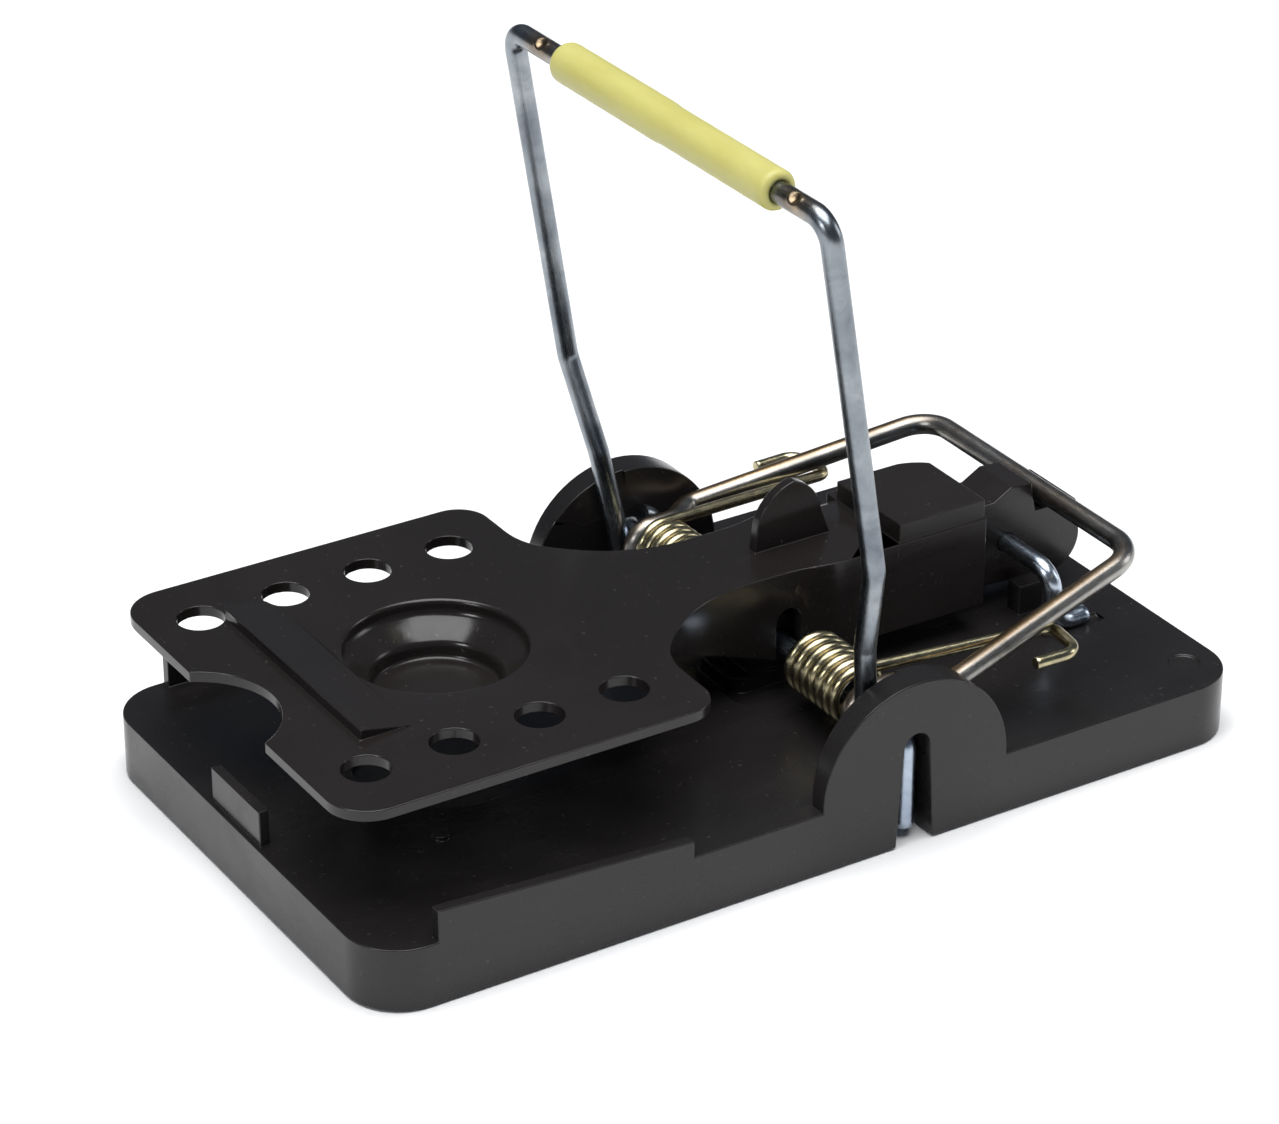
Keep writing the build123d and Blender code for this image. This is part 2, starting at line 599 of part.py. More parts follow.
    # sloping scoop in the far edge of the neck, beside the block
    with BuildSketch(Plane.XZ.offset(-SCOOP_YS[0])):
        with BuildLine():
            Polyline(
                (SCOOP_X, PLATE_TOP),
                (-NECK_HALF, SCOOP_FOOT_Z),
                (-NECK_HALF - 1, SCOOP_FOOT_Z),
                (-NECK_HALF - 1, PLATE_TOP + 1),
                (SCOOP_X, PLATE_TOP + 1),
                close=True,
            )
        make_face()
    extrude(amount=SCOOP_YS[0] - SCOOP_YS[1], mode=Mode.SUBTRACT)
    # raised block with one rounded corner
    with BuildSketch(Plane.XY.offset(PLATE_FOOT)):
        with BuildLine():
            Polyline(
                (BLOCK_FAR_X, BLOCK_YS[1] - BLOCK_CORNER),
                (BLOCK_FAR_X, BLOCK_YS[0]),
                (BLOCK_NEAR_X, BLOCK_YS[0]),
                (BLOCK_NEAR_X, BLOCK_YS[1]),
                (BLOCK_FAR_X + BLOCK_CORNER / 2, BLOCK_YS[1]),
            )
            RadiusArc(
                (BLOCK_FAR_X + BLOCK_CORNER / 2, BLOCK_YS[1]),
                (BLOCK_FAR_X, BLOCK_YS[1] - BLOCK_CORNER),
                -2 * BLOCK_CORNER,
            )
        make_face()
    extrude(amount=BLOCK_TOP - PLATE_FOOT)
    # fin
    with BuildSketch(Plane.YZ):
        with BuildLine():
            Polyline((18.5, PLATE_FOOT), (9.0, PLATE_FOOT), (9.1, PLATE_TOP), (9.4, 23.6))
            ThreePointArc((9.4, 23.6), (11.0, 26.2), (13.9, 27.7))
            ThreePointArc((13.9, 27.7), (16.0, 26.4), (17.4, 23.4))
            Polyline((17.4, 23.4), (18.5, PLATE_TOP), (18.5, PLATE_FOOT))
        make_face()
    extrude(amount=FIN_WALL / 2, both=True)
    # tail: hook head, seat of the lever bar and rounded end, bored for the pin
    with BuildSketch(Plane.YZ):
        with BuildLine():
            Polyline(
                (45.4, 9.0),
                (NECK_REAR - 2 * SKIRT, SKIRT_FOOT_Z),
                (NECK_REAR - 2 * SKIRT, PLATE_TOP - 1.0),
                (38.2, PLATE_TOP - 1.0),
                (40.5, 20.8),
                (43.15, 20.6),
                (43.8, 17.1),
                (46.9, 17.1),
                (46.9, 18.6),
                (47.4, 18.6),
                (49.3, 17.0),
                (49.9, 13.0),
            )
            ThreePointArc((49.9, 13.0), (48.9, 10.2), (45.4, 9.0))
        make_face()
        with Locations((PIN_Y, PIN_Z)):
            Circle(PIN_WIRE / 2 + PIN_FIT, mode=Mode.SUBTRACT)
    extrude(amount=TAIL_HALF, both=True)
paddle.part.label = "paddle"
export_step(paddle.part, "parts/paddle.step")
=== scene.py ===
"""Looks of the set snap mouse trap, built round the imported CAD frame.

Routes and sizes are in millimetres. Meshes, materials, lights and the camera are in metres.
"""

import json
import math

import bmesh
import bpy
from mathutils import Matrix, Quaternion, Vector


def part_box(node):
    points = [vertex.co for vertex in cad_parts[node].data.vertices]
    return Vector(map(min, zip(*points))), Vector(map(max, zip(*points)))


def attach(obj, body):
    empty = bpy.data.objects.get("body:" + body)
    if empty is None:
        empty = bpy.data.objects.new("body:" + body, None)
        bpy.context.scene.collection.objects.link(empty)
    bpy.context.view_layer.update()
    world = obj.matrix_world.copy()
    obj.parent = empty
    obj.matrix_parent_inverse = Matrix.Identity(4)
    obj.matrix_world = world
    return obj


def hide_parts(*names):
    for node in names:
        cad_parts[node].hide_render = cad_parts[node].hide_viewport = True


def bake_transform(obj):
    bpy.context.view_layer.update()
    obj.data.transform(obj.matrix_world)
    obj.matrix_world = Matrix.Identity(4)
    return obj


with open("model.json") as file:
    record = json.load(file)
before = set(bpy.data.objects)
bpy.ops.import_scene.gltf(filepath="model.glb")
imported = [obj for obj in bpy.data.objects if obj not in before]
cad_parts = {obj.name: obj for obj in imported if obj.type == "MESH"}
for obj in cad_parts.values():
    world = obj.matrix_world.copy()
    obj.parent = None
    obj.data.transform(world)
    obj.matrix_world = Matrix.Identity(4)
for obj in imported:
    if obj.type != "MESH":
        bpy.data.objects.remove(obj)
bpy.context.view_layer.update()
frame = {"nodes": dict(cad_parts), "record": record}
JOINTS = {joint["name"]: joint for joint in frame["record"]["behaviour"]["joints"]}
MM = 0.001
AXLE = Vector(JOINTS["striker_swing"]["pos_m"]) / MM
PIN = Vector(JOINTS["paddle_tilt"]["pos_m"]) / MM
BAR = Vector(JOINTS["sleeve_spin"]["pos_m"]) / MM

# sleeve, from the box of its CAD node
sleeve_low, sleeve_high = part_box("bar_sleeve")
SLEEVE_SHIFT = (sleeve_high.x + sleeve_low.x) / 2 / MM
SLEEVE_HALF = (sleeve_high.x - sleeve_low.x) / 2 / MM
SLEEVE_R = (sleeve_high.z - sleeve_low.z) / 2 / MM
SLEEVE_FIT = 0.08
SLEEVE_STEP = 0.1
SLEEVE_STEP_WIDTH = 0.2
SLEEVE_SAG = 0.012
SLEEVE_SAG_RATE = 0.9
SLEEVE_MARGIN = 0.9
SLEEVE_RINGS = 60
SLEEVE_SKIN = 0.005
NEAR_END_THINNER = 0.08

# wires: corners as in the CAD, with the striker's knees bent a little more softly
WIRE = 2.3
EYE_RADIUS = WIRE + 0.1
PIN_WIRE = 2.1
SPRING_WIRE = 1.3

BAR_HALF = 29.05
STRIKER_KNEE = (BAR_HALF, 4.2, 32.7)
STRIKER_ANKLE = (25.5, 5.86, 22.1)
STRIKER_SHIN = (24.1, 7.2, 13.5)
STRIKER_BENDS = [2.5, 4.0, 4.0, WIRE]
STRIKER_EYE_TURN = 250.0

LEVER_END = (18.8, 45.18, 18.75)
LEVER_KINK_OUT = (24.15, 16.4, 13.35)
LEVER_KINK_IN = (21.1, 12.7, AXLE.z + EYE_RADIUS)
LEVER_BENDS = [4.2, 2.0, 2.0]
LEVER_EYE_TURN = 265.0

AXLE_HALF = 27.2
AXLE_FOOT_Z = 1.0
AXLE_BEND = 1.6

PIN_HALF = 11.0
PIN_FOOT = (PIN_HALF, 41.2, 7.75)
PIN_FOOT_END = (PIN_HALF, 45.0, 7.75)
PIN_BEND = 2.2

SPRING_MEAN = 2.95
SPRING_PITCH = 1.33
SPRING_TURNS = 6.5
SPRING_LIFT = 0.8
SPRING_INNER_X = 10.3
SPRING_OUTER_X = SPRING_INNER_X + SPRING_PITCH * SPRING_TURNS
SPRING_FOOT_X = 10.0
SPRING_FOOT_Y = 15.0
SPRING_FOOT_Z = 4.0
SPRING_FOOT_BEND = 1.2
HOOK_Z = 14.3
HOOK = [(20.75, 32.9, HOOK_Z), (26.4, 32.2, HOOK_Z), (26.2, 26.8, HOOK_Z)]
HOOK_BENDS = [1.4, 2.0]

# stamps in the striker bar: a crater with a raised rim on each side of the sleeve
STAMP_REACH = 23.2
STAMP_SIDE = Vector((0, -0.62, 0.78))
STAMP_LIMIT = 1.6
STAMP_DEPTH = 0.34
STAMP_HOLE = 0.5
STAMP_RIM = 0.13
STAMP_RIM_PLACE = 0.8
STAMP_RIM_WIDTH = 0.22

# eased edges of the mouldings
BASE_EDGE = 0.15
PADDLE_EDGE = 0.13
CUP_CENTRE = Vector((0, -28.9, 15.0))
CUP_REACH = 9.6
CUP_ROUNDING = 0.6

# colours
TRAY_DARK = (0.0125, 0.0110, 0.0110)
TRAY_LIGHT = (0.0175, 0.0158, 0.0156)
PADDLE_DARK = (0.0125, 0.0104, 0.0097)
PADDLE_LIGHT = (0.0170, 0.0143, 0.0132)
SPECK = (0.05, 0.047, 0.045)
BLACK = (0.0, 0.0, 0.0)
WHITE = (1.0, 1.0, 1.0)
GOLD = (1.0, 0.64, 0.31)
ZINC = [(0.3, (0.17, 0.19, 0.22)), (0.5, (0.30, 0.33, 0.36)), (0.72, (0.46, 0.49, 0.51))]
DULL_ZINC = [(0.3, (0.22, 0.22, 0.21)), (0.5, (0.34, 0.34, 0.33)), (0.72, (0.48, 0.48, 0.46))]
BLUE_ZINC = [(0.28, (0.34, 0.40, 0.50)), (0.5, (0.52, 0.60, 0.70)), (0.74, (0.68, 0.74, 0.82))]
CHROMATE = [
    (0.22, (0.25, 0.24, 0.17)),
    (0.42, (0.44, 0.40, 0.26)),
    (0.58, (0.64, 0.55, 0.33)),
    (0.78, (0.46, 0.40, 0.36)),
]
SLEEVE_DEEP = (0.50, 0.465, 0.135)
SLEEVE_PALE = (0.58, 0.55, 0.19)
FLOOR_LOW = (0.93, 0.93, 0.93)
FLOOR_HIGH = (0.95, 0.95, 0.95)


def grey(value):
    return (value, value, value)


# ---------------------------------------------------------------- node helpers
MIX_AMOUNT = 0
MIX_RESULT = 2
MIX_A = 6
MIX_B = 7
NOISE_LOW = 0.3
NOISE_HIGH = 0.7


class Shader:
    """A small helper that builds one procedural material."""

    def __init__(self, name):
        self.material = bpy.data.materials.new(name)
        self.material.use_nodes = True
        self.tree = self.material.node_tree
        self.tree.nodes.clear()
        self.output = self.add("ShaderNodeOutputMaterial")
        self.surface = self.add("ShaderNodeBsdfPrincipled")
        self.join(self.surface, "BSDF", self.output, "Surface")

    def add(self, kind, **values):
        node = self.tree.nodes.new(kind)
        for key, value in values.items():
            setattr(node, key, value)
        return node

    def join(self, a, a_socket, b, b_socket):
        self.tree.links.new(a.outputs[a_socket], b.inputs[b_socket])

    def set(self, **values):
        for key, value in values.items():
            self.surface.inputs[key.replace("_", " ")].default_value = value

    def coordinates(self, scale=(1, 1, 1), use_uv=False):
        """Object coordinates, or the wire's own (round, along) coordinates, scaled."""
        if use_uv:
            source = self.add("ShaderNodeUVMap", uv_map="wire")
            socket = "UV"
        else:
            source = self.add("ShaderNodeTexCoord")
            socket = "Object"
        mapping = self.add("ShaderNodeMapping")
        mapping.inputs["Scale"].default_value = scale
        self.join(source, socket, mapping, "Vector")
        return mapping

    def noise(self, mapping, scale, detail, roughness, distortion=0.0):
        node = self.add("ShaderNodeTexNoise")
        node.inputs["Scale"].default_value = scale
        node.inputs["Detail"].default_value = detail
        node.inputs["Roughness"].default_value = roughness
        node.inputs["Distortion"].default_value = distortion
        self.join(mapping, "Vector", node, "Vector")
        return node

    def ramp(self, source, socket, stops):
        """A colour ramp; each stop is (place, colour)."""
        node = self.add("ShaderNodeValToRGB")
        elements = node.color_ramp.elements
        while len(elements) < len(stops):
            elements.new(0.5)
        for element, (place, colour) in zip(elements, stops):
            element.position = place
            element.color = (*colour, 1.0)
        self.join(source, socket, node, "Fac")
        return node

    def spread(self, source, low, high):
        """The noise's usual range, spread over low to high."""
        node = self.add("ShaderNodeMapRange")
        node.inputs["From Min"].default_value = NOISE_LOW
        node.inputs["From Max"].default_value = NOISE_HIGH
        node.inputs["To Min"].default_value = low
        node.inputs["To Max"].default_value = high
        self.join(source, "Fac", node, "Value")
        return node

    def combine(self, blend, a, b, amount=1.0):
        """Colour ramp b blended over colour ramp a."""
        node = self.add("ShaderNodeMix", data_type="RGBA", blend_type=blend)
        node.inputs[MIX_AMOUNT].default_value = amount
        self.join(a, "Color", node, MIX_A)
        self.join(b, "Color", node, MIX_B)
        return node

    def bump(self, source, strength, distance, before=None):
        node = self.add("ShaderNodeBump")
        node.inputs["Strength"].default_value = strength
        node.inputs["Distance"].default_value = distance
        self.join(source, "Fac", node, "Height")
        if before is not None:
            self.join(before, "Normal", node, "Normal")
        return node


# ---------------------------------------------------------------- materials
def moulded_plastic(name, dark, light, roughness, ior):
    """Near-black moulded plastic: glossy skin with slow waves, faint flow marks, fine grain, pale specks."""
    s = Shader(name)
    s.set(IOR=ior)
    wide = s.coordinates()
    cloud = s.noise(wide, scale=38.0, detail=5.0, roughness=0.6, distortion=0.4)
    tone = s.ramp(cloud, "Fac", [(0.3, dark), (0.72, light)])
    specks = s.noise(wide, scale=1500.0, detail=2.0, roughness=0.5)
    speck_tone = s.ramp(specks, "Fac", [(0.69, BLACK), (0.76, SPECK)])
    mixed = s.combine("ADD", tone, speck_tone, amount=0.5)
    s.join(mixed, MIX_RESULT, s.surface, "Base Color")
    flow = s.coordinates((1.0, 0.35, 1.0))
    flow_noise = s.noise(flow, scale=160.0, detail=3.0, roughness=0.5, distortion=0.8)
    gloss = s.spread(flow_noise, roughness - 0.04, roughness + 0.08)
    s.join(gloss, "Result", s.surface, "Roughness")
    grain = s.noise(wide, scale=3600.0, detail=2.0, roughness=0.5)
    wave = s.noise(wide, scale=55.0, detail=2.0, roughness=0.4)
    low = s.bump(wave, strength=0.3, distance=0.0002)
    fine = s.bump(grain, strength=0.1, distance=0.00003, before=low)
    s.join(fine, "Normal", s.surface, "Normal")
    return s.material


def plated_wire(name, stops, roughness, patch_scale=160.0, streak=0.12):
    """Plated drawn wire: lengthwise drawing lines, mottled plating colour from the stops, small pits."""
    s = Shader(name)
    s.set(Metallic=1.0)
    along = s.coordinates((60.0, 9.0, 1.0), use_uv=True)
    lines = s.noise(along, scale=6.0, detail=5.0, roughness=0.65)
    wide = s.coordinates()
    patches = s.noise(wide, scale=patch_scale, detail=4.0, roughness=0.6, distortion=0.6)
    colour = s.ramp(patches, "Fac", stops)
    shade = s.ramp(lines, "Fac", [(0.3, grey(1 - 2.2 * streak)), (0.7, WHITE)])
    streaked = s.combine("MULTIPLY", colour, shade)
    s.join(streaked, MIX_RESULT, s.surface, "Base Color")
    gloss = s.spread(lines, roughness - 0.07, roughness + 0.12)
    s.join(gloss, "Result", s.surface, "Roughness")
    pits = s.noise(wide, scale=1900.0, detail=3.0, roughness=0.6)
    low = s.bump(lines, strength=0.25, distance=0.00003)
    fine = s.bump(pits, strength=0.15, distance=0.00003, before=low)
    s.join(fine, "Normal", s.surface, "Normal")
    return s


def tinted(shader, amount, amount_socket, colour):
    """Multiplies the shader's colour by a tint, as far as the amount says."""
    old = shader.surface.inputs["Base Color"].links[0].from_node
    tint = shader.add("ShaderNodeMix", data_type="RGBA", blend_type="MULTIPLY")
    tint.inputs[MIX_B].default_value = (*colour, 1.0)
    shader.join(amount, amount_socket, tint, MIX_AMOUNT)
    shader.join(old, MIX_RESULT, tint, MIX_A)
    shader.join(tint, MIX_RESULT, shader.surface, "Base Color")


def stamp_place(side):
    """The middle of a stamp on the bar's surface, in millimetres from the sleeve's middle."""
    return Vector((side * STAMP_REACH, BAR.y, BAR.z)) + STAMP_SIDE * WIRE / 2


def striker_plating():
    """Zinc plate, bared to a warm colour round the two stamps beside the sleeve."""
    s = plated_wire("striker_zinc", ZINC, 0.24)
    place = s.coordinates()
    centred = s.add("ShaderNodeVectorMath", operation="SUBTRACT")
    s.join(place, "Vector", centred, 0)
    centred.inputs[1].default_value = (SLEEVE_SHIFT * MM, 0.0, 0.0)
    mirror = s.add("ShaderNodeVectorMath", operation="ABSOLUTE")
    s.join(centred, "Vector", mirror, 0)
    from_stamp = s.add("ShaderNodeVectorMath", operation="DISTANCE")
    s.join(mirror, "Vector", from_stamp, 0)
    stamp = stamp_place(1) * MM
    from_stamp.inputs[1].default_value = (stamp.x, abs(stamp.y), stamp.z)
    amount = s.ramp(from_stamp, "Value", [(0.0005, WHITE), (0.0013, BLACK)])
    tinted(s, amount, "Color", GOLD)
    return s.material


def lever_plating_and_reflection():
    """Dull zinc with a golden tint along the legs that fades out towards the bar. The tint is partly a stain
    and partly a painted reflection: it is strongest on the faces that turn up and towards -X and -Y.
    """
    s = plated_wire("lever_zinc_stain_and_painted_reflection", DULL_ZINC, 0.27)
    place = s.coordinates()
    split = s.add("ShaderNodeSeparateXYZ")
    s.join(place, "Vector", split, "Vector")
    cloud = s.noise(place, scale=120.0, detail=4.0, roughness=0.6)
    wobble = s.add("ShaderNodeMath", operation="MULTIPLY_ADD")
    s.join(cloud, "Fac", wobble, 0)
    wobble.inputs[1].default_value = 0.012
    s.join(split, "Y", wobble, 2)
    stain = [(0.018, grey(0.5)), (0.03, WHITE), (0.045, grey(0.8)), (0.0535, BLACK)]
    along = s.ramp(wobble, "Value", stain)
    # painted reflection: the gold tint is kept mostly to faces turned up and towards -X and -Y, with a
    # little left on the other sides
    facing = s.add("ShaderNodeTexCoord")
    side = s.add("ShaderNodeVectorMath", operation="DOT_PRODUCT")
    s.join(facing, "Normal", side, 0)
    side.inputs[1].default_value = (-0.45, -0.45, 0.77)
    painted_reflection_side = s.ramp(side, "Value", [(0.35, grey(0.12)), (0.8, WHITE)])
    amount = s.combine("MULTIPLY", along, painted_reflection_side)
    tinted(s, amount, MIX_RESULT, GOLD)
    return s.material


def sleeve_plastic():
    """Soft translucent yellow tube, a little dusty."""
    s = Shader("sleeve_yellow_plastic")
    s.set(Subsurface_Weight=0.25, Subsurface_Radius=(0.0016, 0.0014, 0.0005), Subsurface_Scale=1.0, IOR=1.46)
    wide = s.coordinates((0.35, 1.0, 1.0))
    cloud = s.noise(wide, scale=260.0, detail=5.0, roughness=0.6, distortion=0.3)
    tone = s.ramp(cloud, "Fac", [(0.3, SLEEVE_DEEP), (0.7, SLEEVE_PALE)])
    s.join(tone, "Color", s.surface, "Base Color")
    gloss = s.spread(cloud, 0.3, 0.46)
    s.join(gloss, "Result", s.surface, "Roughness")
    ripple = s.noise(wide, scale=700.0, detail=3.0, roughness=0.5)
    low = s.bump(ripple, strength=0.3, distance=0.00005)
    s.join(low, "Normal", s.surface, "Normal")
    return s.material


TRAY_PLASTIC = moulded_plastic("tray_plastic_moulded", TRAY_DARK, TRAY_LIGHT, 0.24, 1.42)
PADDLE_PLASTIC = moulded_plastic("paddle_plastic_moulded", PADDLE_DARK, PADDLE_LIGHT, 0.19, 1.45)
STRIKER_ZINC = striker_plating()
# the lever's gold is partly a stain and partly a painted reflection
LEVER_STAIN_AND_REFLECTION = lever_plating_and_reflection()
AXLE_ZINC = plated_wire("axle_zinc", BLUE_ZINC, 0.22).material
SPRING_CHROMATE = plated_wire("spring_yellow_chromate", CHROMATE, 0.2, 420.0, 0.14).material
SLEEVE_YELLOW = sleeve_plastic()


# ---------------------------------------------------------------- lines
NEARLY_STRAIGHT = math.radians(89.5)
BEND_STEP = 5
FEWEST_STEPS = 6
EYE_STEP = 6


def rounded(points, radii):
    """A line through the points with each inner corner rounded by its radius."""
    points = [Vector(p) for p in points]
    line = [points[0]]
    for before, corner, after, radius in zip(points, points[1:], points[2:], radii):
        a = (before - corner).normalized()
        b = (after - corner).normalized()
        half = a.angle(b) / 2
        if half > NEARLY_STRAIGHT:
            line.append(corner)
            continue
        reach = radius / math.tan(half)
        centre = corner + (a + b).normalized() * (radius / math.sin(half))
        start = corner + a * reach - centre
        end = corner + b * reach - centre
        turn = start.angle(end)
        steps = max(FEWEST_STEPS, int(math.degrees(turn) / BEND_STEP))
        for i in range(steps + 1):
            t = i / steps
            weight_a = math.sin((1 - t) * turn) / math.sin(turn)
            weight_b = math.sin(t * turn) / math.sin(turn)
            line.append(centre + start * weight_a + end * weight_b)
    line.append(points[-1])
    return line


def spaced(line, longest):
    """The same line with long straight stretches divided."""
    out = [line[0]]
    for a, b in zip(line, line[1:]):
        parts = max(1, math.ceil((b - a).length / longest))
        out.extend(a.lerp(b, i / parts) for i in range(1, parts + 1))
    return out


def eye(x, turn):
    """A point on the eyelet round the axle, turn degrees up from the +Y side."""
    angle = math.radians(turn)
    return Vector((x, AXLE.y + EYE_RADIUS * math.cos(angle), AXLE.z + EYE_RADIUS * math.sin(angle)))


def eye_run(x, first, span):
    """The eyelet from one turn on through span degrees."""
    steps = int(span / EYE_STEP)
    return [eye(x, first + span * i / steps) for i in range(steps + 1)]


def tangent_turn(y, z):
    """The turn at which a straight wire from (y, z) touches the eyelet."""
    away_y = y - AXLE.y
    away_z = z - AXLE.z
    touching = math.acos(EYE_RADIUS / math.hypot(away_y, away_z))
    return math.degrees(math.atan2(away_z, away_y)) + math.degrees(touching)


def mirror_x(line):
    return [Vector((-p.x, p.y, p.z)) for p in reversed(line)]


def whole(half, longest):
    """Both halves of a route, from its right half that starts in the middle."""
    half = spaced(half, longest)
    return mirror_x(half) + half[1:]


def eyed_half(corners, bends, eye_turn):
    """The right half of a wire that runs from its last corner into an eyelet."""
    x, y, z = corners[-1]
    turn = tangent_turn(y, z)
    half = rounded(corners + [eye(x, turn)], bends)
    return half[:-1] + eye_run(x, turn, eye_turn)


# ---------------------------------------------------------------- meshes
SAME_POINT = 1e-4
CUT_CHAMFER = 0.12
CUT_RADIUS = 0.86
CUT_LENGTH = 0.1
UV_PER_MM = MM * 10


def linked(name, mesh):
    piece = bpy.data.objects.new(name, mesh)
    bpy.context.scene.collection.objects.link(piece)
    return piece


def circle(bm, centre, across, up, size, sides):
    """A ring of vertices about the centre, in the plane of the two unit directions."""
    made = []
    for k in range(sides):
        angle = 2 * math.pi * k / sides
        offset = (across * math.cos(angle) + up * math.sin(angle)) * size
        made.append(bm.verts.new((centre + offset) * MM))
    return made


def closed_mesh(name, bm):
    bmesh.ops.recalc_face_normals(bm, faces=bm.faces)
    mesh = bpy.data.meshes.new(name)
    bm.to_mesh(mesh)
    bm.free()
    return linked(name, mesh)


def wire(name, line, radius, sides=24):
    """A round wire mesh along the line, with a small chamfer on each cut end."""
    points = [line[0]]
    for p in line[1:]:
        if (p - points[-1]).length > SAME_POINT:
            points.append(p)
    last = len(points) - 1
    tangents = [(points[min(last, i + 1)] - points[max(0, i - 1)]).normalized() for i in range(last + 1)]
    normal = tangents[0].orthogonal().normalized()
    bm = bmesh.new()
    uv_layer = bm.loops.layers.uv.new("wire")
    rings = []
    lengths = []
    travelled = 0.0
    for i, point in enumerate(points):
        tangent = tangents[i]
        if i:
            travelled += (point - points[i - 1]).length
            axis = tangents[i - 1].cross(tangent)
            if axis.length > 1e-9:
                normal.rotate(Quaternion(axis.normalized(), tangents[i - 1].angle(tangent)))
        normal = (normal - tangent * normal.dot(tangent)).normalized()
        second = tangent.cross(normal)
        chamfer = tangent * radius * CUT_CHAMFER
        stations = [(point, radius, travelled)]
        if i == 0:
            stations = [(point, radius * CUT_RADIUS, travelled), (point + chamfer, radius, travelled)]
        if i == last:
            end = (point, radius * CUT_RADIUS, travelled + CUT_LENGTH)
            stations = [(point - chamfer, radius, travelled), end]
        for centre, size, length in stations:
            rings.append(circle(bm, centre, normal, second, size, sides))
            lengths.append(length)
    for r in range(len(rings) - 1):
        here, there = rings[r], rings[r + 1]
        for k in range(sides):
            beside = (k + 1) % sides
            face = bm.faces.new((here[k], here[beside], there[beside], there[k]))
            face.smooth = True
            corners = ((k, r), (k + 1, r), (k + 1, r + 1), (k, r + 1))
            for loop, (u, v) in zip(face.loops, corners):
                loop[uv_layer].uv = (u / sides, lengths[v] * UV_PER_MM)
    bm.faces.new(list(reversed(rings[0])))
    bm.faces.new(rings[-1])
    return closed_mesh(name, bm)


def lathe(name, profile, centre, sides=72):
    """A closed turned ring about an X axis through centre; profile is (x, radius)."""
    bm = bmesh.new()
    across, up = Vector((0, 1, 0)), Vector((0, 0, 1))
    rings = [circle(bm, Vector((x, centre.y, centre.z)), across, up, radius, sides) for x, radius in profile]
    count = len(rings)
    for r in range(count):
        for k in range(sides):
            a, b = rings[r], rings[(r + 1) % count]
            face = bm.faces.new((a[k], a[(k + 1) % sides], b[(k + 1) % sides], b[k]))
            face.smooth = True
    return closed_mesh(name, bm)


def finish_piece(piece, material, nodes, body=None):
    """Gives a piece its material, hides the CAD nodes it stands for, and lets it ride on a body."""
    piece.data.materials.clear()
    piece.data.materials.append(material)
    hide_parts(*nodes)
    if body:
        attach(piece, body)


# ---------------------------------------------------------------- wires
def stamp_marks(piece):
    """Punches a small crater with a raised rim into the bar on each side of the sleeve."""
    for side in (-1, 1):
        centre = (stamp_place(side) + Vector((SLEEVE_SHIFT, 0, 0))) * MM
        for vertex in piece.data.vertices:
            away = (vertex.co - centre).length / MM
            if away < STAMP_LIMIT:
                dip = -STAMP_DEPTH * math.exp(-((away / STAMP_HOLE) ** 2))
                rim = STAMP_RIM * math.exp(-(((away - STAMP_RIM_PLACE) / STAMP_RIM_WIDTH) ** 2))
                vertex.co += STAMP_SIDE * (dip + rim) * MM


# striker
corners = [(0, BAR.y, BAR.z), (BAR_HALF, BAR.y, BAR.z), STRIKER_KNEE, STRIKER_ANKLE, STRIKER_SHIN]
line = whole(eyed_half(corners, STRIKER_BENDS, STRIKER_EYE_TURN), 0.25)
strike_bar = wire("strike_bar_wire", line, WIRE / 2, sides=48)
stamp_marks(strike_bar)
finish_piece(strike_bar, STRIKER_ZINC, ["strike_bar"], "striker")

# setting lever
corners = [(0, *LEVER_END[1:]), LEVER_END, LEVER_KINK_OUT, LEVER_KINK_IN]
line = whole(eyed_half(corners, LEVER_BENDS, LEVER_EYE_TURN), 0.8)
set_lever = wire("set_lever_wire", line, WIRE / 2)
finish_piece(set_lever, LEVER_STAIN_AND_REFLECTION, ["set_lever"], "striker")

# axle
corners = [(0, AXLE.y, AXLE.z), (AXLE_HALF, AXLE.y, AXLE.z), (AXLE_HALF, AXLE.y, AXLE_FOOT_Z)]
pivot_axle = wire("pivot_axle_wire", whole(rounded(corners, [AXLE_BEND]), 1.0), WIRE / 2)
finish_piece(pivot_axle, AXLE_ZINC, ["pivot_axle"], "tray")

# trigger pin
corners = [(0, PIN.y, PIN.z), (PIN_HALF, PIN.y, PIN.z), PIN_FOOT, PIN_FOOT_END]
trigger_pin = wire("trigger_pin_wire", whole(rounded(corners, [PIN_BEND] * 2), 0.8), PIN_WIRE / 2)
finish_piece(trigger_pin, AXLE_ZINC, ["trigger_pin"], "tray")


# ---------------------------------------------------------------- springs
COIL_STEPS = 40
COIL_START = 270
FULL_TURN = 360


def spring_line():
    """Right spring: foot in the tray, coil round the axle, long arm and hook."""
    middle = AXLE.z + SPRING_LIFT
    low = middle - SPRING_MEAN
    foot_corners = [
        (SPRING_FOOT_X, SPRING_FOOT_Y, SPRING_FOOT_Z),
        (SPRING_FOOT_X, SPRING_FOOT_Y, low),
        (SPRING_INNER_X, AXLE.y, low),
    ]
    foot = rounded(foot_corners, [SPRING_FOOT_BEND])
    coil = []
    steps = int(SPRING_TURNS * COIL_STEPS)
    for i in range(steps + 1):
        t = i / steps
        angle = math.radians(COIL_START - FULL_TURN * SPRING_TURNS * t)
        x = SPRING_INNER_X + (SPRING_OUTER_X - SPRING_INNER_X) * t
        y = AXLE.y + SPRING_MEAN * math.cos(angle)
        coil.append(Vector((x, y, middle + SPRING_MEAN * math.sin(angle))))
    arm = rounded([(SPRING_OUTER_X, AXLE.y, middle + SPRING_MEAN)] + HOOK, HOOK_BENDS)
    return spaced(foot, 0.5)[:-1] + coil + spaced(arm, 0.5)[1:]


for side, name in ((1, "spring_right"), (-1, "spring_left")):
    line = [Vector((side * p.x, p.y, p.z)) for p in spring_line()]
    spring = wire(f"{name}_coil", line, SPRING_WIRE / 2, sides=18)
    finish_piece(spring, SPRING_CHROMATE, [name])
    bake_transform(spring)


